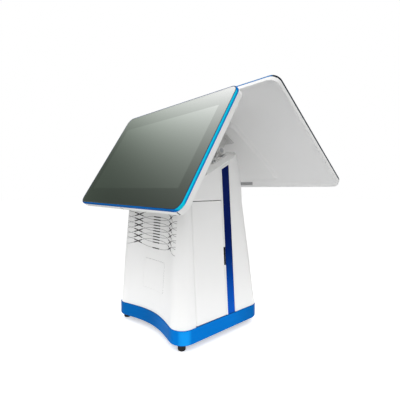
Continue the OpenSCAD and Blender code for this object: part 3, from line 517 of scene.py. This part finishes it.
class TILL_OT_shells(bpy.types.Operator):
    """Finish the white shells of the pedestal and of both displays"""
    bl_idname = "till.shells"
    bl_label = "White Shells"

    SIDEWAYS = 0.5

    def execute(self, context):
        colours = context.scene.till_colours
        sizes = context.scene.till_sizes
        fine = sizes.edge * 0.6
        white = moulded_abs("moulded_abs_white", colours.shell, sizes.grain / MM)
        finish_nodes(["front_shell", "neck_shell", "rear_shell", "front_cover", "customer_housing",
                      "operator_housing", "operator_service_cover"], white, fine)
        finish_nodes(["strip_bezel_left", "strip_bezel_right", "deck_plate", "printer_door"], white,
                     sizes.edge)
        grey = moulded_abs("moulded_abs_grey", colours.cover, sizes.grain / MM)
        finish_nodes(["operator_port_cover"], grey, sizes.edge)
        tall = sizes.flat * 3
        mark_skin(("front_shell", "neck_shell", "rear_shell", "front_cover"), sizes.flat, tall)
        self.recesses(sizes)
        return {"FINISHED"}

    def recesses(self, sizes):
        """Paint the walls of the small recesses matt black as painted shade, so that each reads as a dark
        stroke.
        """
        black = soft_rubber("recess_painted_shade", linear("#101112"))
        finders = {"front_shell": self.vent_walls, "front_cover": self.joint_walls,
                   "strip_bezel_right": self.notch_walls, "customer_housing": self.tick_walls}
        for node, find in finders.items():
            data = NODES[node].data
            data.materials.append(black)
            for wall in find(sizes, data):
                wall.material_index = 1

    def corners(self, data, wall):
        """The corner points of a wall."""
        return [data.vertices[corner].co for corner in wall.vertices]

    def vent_walls(self, sizes, data):
        """The walls of the vents in the front."""
        foot = sizes.top_row - sizes.rows * sizes.pitch
        head = sizes.top_row + sizes.pitch
        return [wall for wall in data.polygons
                if abs(wall.center.x) < sizes.reach and wall.center.y < 0
                and foot < wall.center.z < head and abs(wall.normal.y) < self.SIDEWAYS]

    def joint_walls(self, sizes, data):
        """The walls round the edge of the square cover."""
        return [wall for wall in data.polygons if abs(wall.normal.y) < self.SIDEWAYS]

    def notch_walls(self, sizes, data):
        """The walls of the finger notch beside the right strip."""
        slack = sizes.edge / 2
        foot, head = sizes.notch_foot - slack, sizes.notch_head + slack
        return [wall for wall in data.polygons
                if all(foot < corner.z < head for corner in self.corners(data, wall))]

    def tick_walls(self, sizes, data):
        """The walls of the three short ticks under the customer display."""
        low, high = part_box("customer_housing")
        head = low.z + sizes.tick_rise
        ticks = (low.x + sizes.tick_inset, 0, high.x - sizes.tick_inset)
        return [wall for wall in data.polygons for x in ticks
                if all(corner.z < head and abs(corner.x - x) < sizes.tick
                       for corner in self.corners(data, wall))]


class TILL_OT_lattice(bpy.types.Operator):
    """Raise the crossing lines of the vent lattice on the front shell"""
    bl_idname = "till.lattice"
    bl_label = "Vent Lattice"

    # Rays start at IN_FRONT and count where they meet a face that looks forward at least by FORWARD.
    STEPS = 96
    SIDES = 6
    IN_FRONT = -0.5
    FORWARD = -0.4
    FLATNESS = 0.35

    def execute(self, context):
        sizes = context.scene.till_sizes
        tree = skin_tree([NODES["front_shell"]])
        mesh = bmesh.new()
        for row in range(sizes.rows):
            for side in (1, -1):
                self.line(mesh, tree, sizes, sizes.top_row - row * sizes.pitch, side)
        # The lines are coloured a darker grey as painted shade, standing in for the shade in the lattice's
        # grooves.
        grey = shade(context.scene.till_colours.shell, 0.4)
        lines = moulded_abs("moulded_abs_line_painted_groove_shade", grey, grain_mm=0.8)
        new_piece("vent_lattice", mesh, [lines], "pedestal")
        return {"FINISHED"}

    def line(self, mesh, tree, sizes, height, side):
        """One wavy line over the front, broken where a vent is open."""
        run = []
        for step in range(self.STEPS + 1):
            x = sizes.reach * (2 * step / self.STEPS - 1)
            swing = math.sin(math.pi / 2 * math.cos(math.pi * x / (2 * sizes.crossing)))
            start = Vector((x, self.IN_FRONT, height + side * sizes.wave * swing))
            hit, normal = tree.ray_cast(start, Vector((0, 1, 0)))[:2]
            if hit and normal.y < self.FORWARD:
                run.append((hit, normal))
            else:
                self.tube(mesh, run, sizes.line / 2)
                run = []
        self.tube(mesh, run, sizes.line / 2)

    def tube(self, mesh, run, radius):
        """A slim closed tube along a run of points, half sunk in the skin."""
        if len(run) < 2:
            return
        up = Vector((0, 0, 1))
        turns = [2 * math.pi * k / self.SIDES for k in range(self.SIDES)]
        rings = []
        for centre, out in run:
            proud = out * self.FLATNESS
            rings.append([mesh.verts.new(centre + (proud * math.cos(turn) + up * math.sin(turn)) * radius)
                          for turn in turns])
        for ring, following in zip(rings, rings[1:]):
            for k in range(self.SIDES):
                j = (k + 1) % self.SIDES
                mesh.faces.new((ring[k], following[k], following[j], ring[j]))
        mesh.faces.new(rings[0])
        mesh.faces.new(list(reversed(rings[-1])))


class TILL_OT_blue_pieces(bpy.types.Operator):
    """Finish the base band, the side strips and the rims of both displays"""
    bl_idname = "till.blue_pieces"
    bl_label = "Blue Pieces"

    # Each facing points where that piece's painted highlight faces; the band's dim and the strips' fade are
    # painted shade.
    BAND_FACING = (0.85, -0.53, 0)
    BAND_PAINTED_SHADE = (0.7, 58, 100)
    TRIM_FACING = (0.75, -0.6, -0.1)
    TRIM_STEPS = ((0.2, 0.7), (0.74, 0.88))
    RIM_FACING = (0, -0.82, 0.57)
    STRIP_PAINTED_SHADE_RISE = (-10, 130)

    def execute(self, context):
        colours = context.scene.till_colours
        band = lacquer_with_painted_light("blue_band_lacquer_painted_light", colours.band_painted_shade, colours.band, colours.band_painted_highlight,
                             self.BAND_FACING, dim=self.BAND_PAINTED_SHADE)
        finish_nodes(["base_tray"], band, 0)
        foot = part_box("side_strip_right")[0].z / MM
        rise = [foot + height for height in self.STRIP_PAINTED_SHADE_RISE]
        strip = gloss_abs("gloss_abs_strip_painted_shade", colours.strip, colours.strip_painted_shade, rise)
        finish_nodes(["side_strip_left", "side_strip_right"], strip, context.scene.till_sizes.edge)
        trim = lacquer_with_painted_light("blue_trim_lacquer_painted_light", colours.trim, colours.trim_mid, colours.trim_painted_highlight,
                             self.TRIM_FACING, self.TRIM_STEPS)
        finish_nodes(["customer_trim"], trim, 0)
        rim = lacquer_with_painted_light("navy_rim_lacquer_painted_light", colours.rim, colours.rim, colours.rim_painted_highlight, self.RIM_FACING)
        finish_nodes(["operator_trim"], rim, 0)
        return {"FINISHED"}


class DisplayLayer:
    """A flat display layer's own frame: x along it, y up it, z out of its face."""

    def __init__(self, node):
        data = NODES[node].data
        front = max((p for p in data.polygons if p.normal.z > 0.1), key=lambda p: p.area)
        out = front.normal.normalized()
        along = Vector((1, 0, 0)) if out.y < 0 else Vector((-1, 0, 0))
        self.axes = Matrix((along, out.cross(along), out)).transposed()
        local = [self.axes.transposed() @ v.co for v in data.vertices]
        self.low = Vector([min(p[i] for p in local) for i in range(3)])
        self.high = Vector([max(p[i] for p in local) for i in range(3)])

    def point(self, x, y, z):
        """A place in the shared frame from the layer's own coordinates."""
        return self.axes @ Vector((x, y, z))


class TILL_OT_screens(bpy.types.Operator):
    """Build both cover glasses with their printed borders and dark picture areas"""
    bl_idname = "till.screens"
    bl_label = "Screens"

    # EDGE holds the inset and the drop, in mm, of each ring round the glass.
    CORNER = 12.15 * MM
    CORNER_STEPS = 10
    EDGE = [(0.7, 0.0), (0.35, 0.05), (0.1, 0.22), (0.0, 0.55)]
    PANEL_RIM = 5.5 * MM
    INK_IOR = 1.46
    PANEL_IOR = 1.6

    def execute(self, context):
        colours = context.scene.till_colours
        ink = cover_glass("glass_over_ink", colours.ink, self.INK_IOR)
        panel = cover_glass("glass_over_panel", colours.panel, self.PANEL_IOR)
        for who in ("customer", "operator"):
            self.screen(who, ink, panel)
        return {"FINISHED"}

    def outline(self, glass, inset):
        """Points round the glass, counter-clockwise from its lower right corner."""
        radius = self.CORNER - inset
        points = []
        for sx, sy, start in ((1, 0, -90), (1, 1, 0), (-1, 1, 90), (-1, 0, 180)):
            cx = glass.high.x - self.CORNER if sx > 0 else glass.low.x + self.CORNER
            cy = glass.high.y - self.CORNER if sy else glass.low.y + self.CORNER
            for k in range(self.CORNER_STEPS + 1):
                turn = math.radians(start + 90 * k / self.CORNER_STEPS)
                points.append((cx + radius * math.cos(turn), cy + radius * math.sin(turn)))
        return points

    def screen(self, who, ink, panel):
        """One cover glass: rounded edge, printed border, picture area and back."""
        glass = DisplayLayer(who + "_glass")
        lcd = DisplayLayer(who + "_lcd")
        mesh = bmesh.new()
        right, left = lcd.high.x - self.PANEL_RIM, lcd.low.x + self.PANEL_RIM
        top, bottom = lcd.high.y - self.PANEL_RIM, lcd.low.y + self.PANEL_RIM
        inner = [mesh.verts.new(glass.point(x, y, glass.high.z))
                 for x, y in ((right, bottom), (right, top), (left, top), (left, bottom))]
        loops = []
        for inset, drop in self.EDGE:
            loops.append([mesh.verts.new(glass.point(x, y, glass.high.z - drop * MM))
                          for x, y in self.outline(glass, inset * MM)])
        loops.append([mesh.verts.new(glass.point(x, y, glass.low.z)) for x, y in self.outline(glass, 0)])
        count = len(loops[0])
        quarter = self.CORNER_STEPS + 1
        for corner in range(4):
            first = corner * quarter
            for k in range(first, first + quarter - 1):
                mesh.faces.new((inner[corner], loops[0][k], loops[0][k + 1]))
            last = first + quarter - 1
            following = loops[0][(last + 1) % count]
            mesh.faces.new((inner[corner], loops[0][last], following, inner[(corner + 1) % 4]))
        for outer, below in zip(loops, loops[1:]):
            for k in range(count):
                j = (k + 1) % count
                rounded = mesh.faces.new((outer[k], below[k], below[j], outer[j]))
                rounded.smooth = True
        mesh.faces.new(list(reversed(loops[-1])))
        picture = mesh.faces.new(inner)
        picture.material_index = 1
        piece = new_piece(who + "_screen", mesh, [ink, panel], who + "_display")
        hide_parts(who + "_glass")


class TILL_OT_hinges(bpy.types.Operator):
    """Finish the hinges, the spine, the screws, the ballast and the printer's steel"""
    bl_idname = "till.hinges"
    bl_label = "Hinges and Steel"

    def execute(self, context):
        edge = context.scene.till_sizes.edge
        fine = edge * 0.6
        steel = plated_steel("zinc_plated_steel", linear("#B4B6B9"))
        finish_nodes(["ballast_plate", "spine_frame", "printer_chassis", "door_brackets", "door_hinge_rod",
                      "customer_hinge_shaft", "operator_hinge_shaft", "hinge_screws", "base_screws",
                      "customer_leaf_screws", "operator_leaf_screws", "drive_motor"], steel, fine)
        finish_nodes(["motor_pinion"], steel, 0)
        coat = coated_steel("powder_coated_steel", linear("#D8D8D6"))
        finish_nodes(["customer_hinge_base", "customer_hinge_leaf", "operator_hinge_base",
                      "operator_hinge_leaf", "hinge_nuts"], coat, edge)
        return {"FINISHED"}


class TILL_OT_feet(bpy.types.Operator):
    """Finish the rubber feet and the platen"""
    bl_idname = "till.feet"
    bl_label = "Rubber"

    def execute(self, context):
        rubber = soft_rubber("moulded_rubber", context.scene.till_colours.rubber)
        finish_nodes(["rubber_feet", "platen_roller"], rubber, context.scene.till_sizes.edge)
        return {"FINISHED"}


class TILL_OT_works(bpy.types.Operator):
    """Finish the boards, the speakers, the print mechanism and the button"""
    bl_idname = "till.works"
    bl_label = "Inner Works"

    def execute(self, context):
        fine = context.scene.till_sizes.edge * 0.6
        board = solder_mask("fr4_solder_mask")
        finish_nodes(["main_board", "io_board", "customer_board", "operator_board"], board, 0)
        finish_nodes(["heatsink"], extruded_aluminium("extruded_aluminium"), 0)
        finish_nodes(["speaker_cloth"], acoustic_cloth("acoustic_cloth"), 0)
        black = moulded_abs("moulded_abs_black", linear("#1D1E20"), grain_mm=0.8)
        finish_nodes(["speakers", "print_head", "paper_cradle", "power_button", "button_switch"], black, fine)
        nylon = moulded_abs("moulded_nylon", linear("#E4E0D2"), grain_mm=1.5)
        finish_nodes(["platen_gear"], nylon, 0)
        panel = moulded_abs("moulded_polycarbonate", linear("#2A2D2B"), grain_mm=2)
        finish_nodes(["customer_lcd", "operator_lcd"], panel, 0)
        return {"FINISHED"}


class TILL_OT_sockets(bpy.types.Operator):
    """Finish the rear socket plate, its sockets and the power inlet"""
    bl_idname = "till.sockets"
    bl_label = "Rear Sockets"

    def execute(self, context):
        edge = context.scene.till_sizes.edge
        fine = edge * 0.5
        plate = coated_steel("powder_coated_plate", linear("#26272A"))
        finish_nodes(["io_plate"], plate, edge)
        nickel = plated_steel("nickel_plated_steel", linear("#C3C2BC"))
        finish_nodes(["io_ports"], nickel, fine)
        nylon = moulded_abs("moulded_nylon_black", linear("#141415"), grain_mm=0.8)
        finish_nodes(["dc_inlet"], nylon, fine)
        return {"FINISHED"}


class TILL_OT_stage(bpy.types.Operator):
    """Set the floor, the soft lights, the white surround and the camera"""
    bl_idname = "till.stage"
    bl_label = "Studio"

    # PAPER and PAPER_GLOW hold the floor's tone and glow at the near and far LIT_REACH from LIT_CENTRE.
    FLOOR = 6.0
    LIT_CENTRE = (0.05, -0.08, 0)
    LIT_REACH = (0.18, 0.58)
    PAPER = (0.95, 0.07)
    PAPER_GLOW = (0.45, 0.95)
    KEY_SIZE = 0.8
    KEY_PLACE = Vector((0.6, -1.5, 0.4))
    KEY_AIM = Vector((0, 0, 0.15))
    CARD_AWAY = 0.5
    CARD_SIDEWAYS = 0.85
    CARD_CURVE = 3.5
    CARD_GLOW = (0.265, 8.9)
    CARD_TINT = (0.94, 1.22, 0.94, 1)
    CARD_SLACK = 4 * MM
    WHITE = (1, 1, 1, 1)
    SENSOR = 36

    def execute(self, context):
        stage = context.scene.till_stage
        context.scene.view_settings.view_transform = "Standard"
        self.floor()
        self.surround(stage)
        self.key_light(stage)
        self.card(stage)
        self.camera(stage)
        return {"FINISHED"}

    def floor(self):
        """A white floor that keeps a soft shadow and throws most light back near the till."""
        made, tree = empty_material("white_paper")
        spot = add_node(tree, "ShaderNodeNewGeometry", out="Position")
        away = add_node(tree, "ShaderNodeVectorMath", {0: spot, 1: self.LIT_CENTRE}, "Value",
                        operation="DISTANCE")
        near, far = self.LIT_REACH
        fade = add_node(tree, "ShaderNodeMapRange", {"Value": away, "From Min": near, "From Max": far},
                        interpolation_type="SMOOTHSTEP")
        near, far = self.PAPER
        tone = add_node(tree, "ShaderNodeMix", {
            "Factor": fade, "A": (near, near, near, 1), "B": (far, far, far, 1)}, "Result", data_type="RGBA")
        paper = add_node(tree, "ShaderNodeBsdfDiffuse", {"Color": tone})
        near, far = self.PAPER_GLOW
        lift = add_node(tree, "ShaderNodeMapRange", {"Value": fade, "To Min": near, "To Max": far})
        seen = add_node(tree, "ShaderNodeLightPath", out="Is Camera Ray")
        glow = add_node(tree, "ShaderNodeMath", {0: seen, 1: lift}, operation="MULTIPLY")
        lit = add_node(tree, "ShaderNodeEmission", {"Strength": glow})
        both = add_node(tree, "ShaderNodeAddShader", {0: paper, 1: lit})
        add_node(tree, "ShaderNodeOutputMaterial", {"Surface": both})
        mesh = bmesh.new()
        bmesh.ops.create_grid(mesh, x_segments=1, y_segments=1, size=self.FLOOR)
        floor = put_mesh("floor", mesh, [made])

    def surround(self, stage):
        """Sky light that grows from the horizon to the top, plain white to the camera and in gloss."""
        world = bpy.data.worlds.new("studio")
        world.use_nodes = True
        tree = world.node_tree
        tree.nodes.clear()
        seen = add_node(tree, "ShaderNodeLightPath", out="Is Camera Ray")
        path = seen.node.outputs
        for kind in ("Is Glossy Ray", "Is Transmission Ray"):
            seen = add_node(tree, "ShaderNodeMath", {0: seen, 1: path[kind]}, operation="MAXIMUM")
        way = add_node(tree, "ShaderNodeTexCoord", out="Generated")
        height = add_node(tree, "ShaderNodeSeparateXYZ", {"Vector": way}, "Z")
        light = add_node(tree, "ShaderNodeMapRange", {
            "Value": height, "To Min": stage.horizon, "To Max": stage.zenith})
        strength = add_node(tree, "ShaderNodeMapRange", {"Value": seen, "To Min": light, "To Max": 1.0})
        sky = add_node(tree, "ShaderNodeBackground", {"Color": self.WHITE, "Strength": strength})
        add_node(tree, "ShaderNodeOutputWorld", {"Surface": sky})
        bpy.context.scene.world = world

    def key_light(self, stage):
        """A square soft light in front of the till."""
        data = bpy.data.lights.new("key_light", "AREA")
        data.energy = stage.key
        data.size = self.KEY_SIZE
        lamp = put("key_light", data)
        lamp.location = self.KEY_PLACE
        lamp.rotation_euler = (self.KEY_AIM - self.KEY_PLACE).to_track_quat("-Z", "Y").to_euler()

    def card(self, stage):
        """A graded glowing card that only gloss sees, set where the customer screen mirrors it: a painted
        reflection on that glass.
        """
        glass = DisplayLayer("customer_glass")
        eye = Vector(stage.camera)
        face = glass.high.z
        depth = (glass.axes.transposed() @ eye).z - face
        mirrored = eye - glass.axes.col[2] * 2 * depth
        mesh = bmesh.new()
        corners = []
        for x, y in ((glass.low.x, glass.low.y), (glass.high.x, glass.low.y),
                     (glass.high.x, glass.high.y), (glass.low.x, glass.high.y)):
            spot = glass.point(x, y, face)
            corners.append(mesh.verts.new(spot + (spot - mirrored) * (self.CARD_AWAY / depth)))
        mesh.faces.new(corners)
        card = put_mesh("gloss_painted_reflection_card", mesh, [self.graded_painted_reflection(glass)])
        layer = card.data.uv_layers.new(name="card")
        for loop, spot in zip(layer.data, ((0, 0), (1, 0), (1, 1), (0, 1))):
            loop.uv = spot
        card.visible_camera = False
        card.visible_diffuse = False
        card.visible_shadow = False

    def graded_painted_reflection(self, glass):
        """A glow that brightens towards one upper corner as a painted reflection, clear to rays from anything
        but the glass.
        """
        made, tree = empty_material("graded_painted_reflection")
        place = add_node(tree, "ShaderNodeTexCoord", out="UV")
        part = add_node(tree, "ShaderNodeSeparateXYZ", {"Vector": place}).node.outputs
        climb = add_node(tree, "ShaderNodeMath", {0: part["X"], 1: self.CARD_SIDEWAYS, 2: part["Y"]},
                         operation="MULTIPLY_ADD")
        rise = add_node(tree, "ShaderNodeMapRange", {"Value": climb, "From Max": 1 + self.CARD_SIDEWAYS})
        curve = add_node(tree, "ShaderNodeMath", {0: rise, 1: self.CARD_CURVE}, operation="POWER")
        low, high = self.CARD_GLOW
        strength = add_node(tree, "ShaderNodeMapRange", {"Value": curve, "To Min": low, "To Max": high})
        tint = add_node(tree, "ShaderNodeMix", {"Factor": rise, "A": self.CARD_TINT, "B": self.WHITE},
                        "Result", data_type="RGBA")
        glow = add_node(tree, "ShaderNodeEmission", {"Color": tint, "Strength": strength})
        clear = add_node(tree, "ShaderNodeBsdfTransparent")
        sent = self.sent_from_glass(tree, glass)
        shown = add_node(tree, "ShaderNodeMixShader", {0: sent, 1: clear, 2: glow})
        add_node(tree, "ShaderNodeOutputMaterial", {"Surface": shown})
        return made

    def sent_from_glass(self, tree, glass):
        """One where the ray left the face of the glass, zero where it left anything else."""
        back = add_node(tree, "ShaderNodeNewGeometry", out="Incoming")
        spot = back.node.outputs["Position"]
        far = add_node(tree, "ShaderNodeLightPath", out="Ray Length")
        way_back = add_node(tree, "ShaderNodeVectorMath", {0: back, "Scale": far}, operation="SCALE")
        start = add_node(tree, "ShaderNodeVectorMath", {0: spot, 1: way_back})
        depth = add_node(tree, "ShaderNodeVectorMath", {0: start, 1: tuple(glass.axes.col[2])}, "Value",
                         operation="DOT_PRODUCT")
        return add_node(tree, "ShaderNodeMath", {0: depth, 1: glass.high.z, 2: self.CARD_SLACK},
                        operation="COMPARE")

    def camera(self, stage):
        """The camera at the photograph's place and angle."""
        data = bpy.data.cameras.new("camera")
        data.sensor_width = self.SENSOR
        data.lens = stage.focal
        data.clip_start = 10 * MM
        camera = put("camera", data)
        camera.location = stage.camera
        camera.rotation_euler = (math.pi / 2 - stage.pitch, 0, stage.azimuth)
        bpy.context.scene.camera = camera


OPERATORS = [TILL_OT_shells, TILL_OT_lattice, TILL_OT_blue_pieces, TILL_OT_screens, TILL_OT_hinges,
             TILL_OT_feet, TILL_OT_works, TILL_OT_sockets, TILL_OT_stage]


class TILL_PT_sidebar(bpy.types.Panel):
    """Lists the till's pieces, sizes and colours"""
    bl_idname = "TILL_PT_sidebar"
    bl_label = "Counter Till"
    bl_space_type = "VIEW_3D"
    bl_region_type = "UI"
    bl_category = "Till"

    def draw(self, context):
        for operator in OPERATORS:
            self.layout.operator(operator.bl_idname)
        for group in ("till_colours", "till_sizes", "till_stage"):
            settings = getattr(context.scene, group)
            for name in settings.__annotations__:
                self.layout.prop(settings, name)


GROUPS = {"till_colours": TillColours, "till_sizes": TillSizes, "till_stage": TillStage}


def register():
    """Add the classes and the scene's settings."""
    for made in (*GROUPS.values(), *OPERATORS, TILL_PT_sidebar):
        bpy.utils.register_class(made)
    for name, group in GROUPS.items():
        setattr(bpy.types.Scene, name, bpy.props.PointerProperty(type=group))


def unregister():
    """Take the settings and the classes away again."""
    for name in GROUPS:
        delattr(bpy.types.Scene, name)
    for made in (TILL_PT_sidebar, *reversed(OPERATORS), *reversed(GROUPS.values())):
        bpy.utils.unregister_class(made)


def main():
    """Register and dress the till piece by piece."""
    register()
    for operator in OPERATORS:
        group, name = operator.bl_idname.split(".")
        getattr(getattr(bpy.ops, group), name)()


if __name__ == "__main__":
    main()
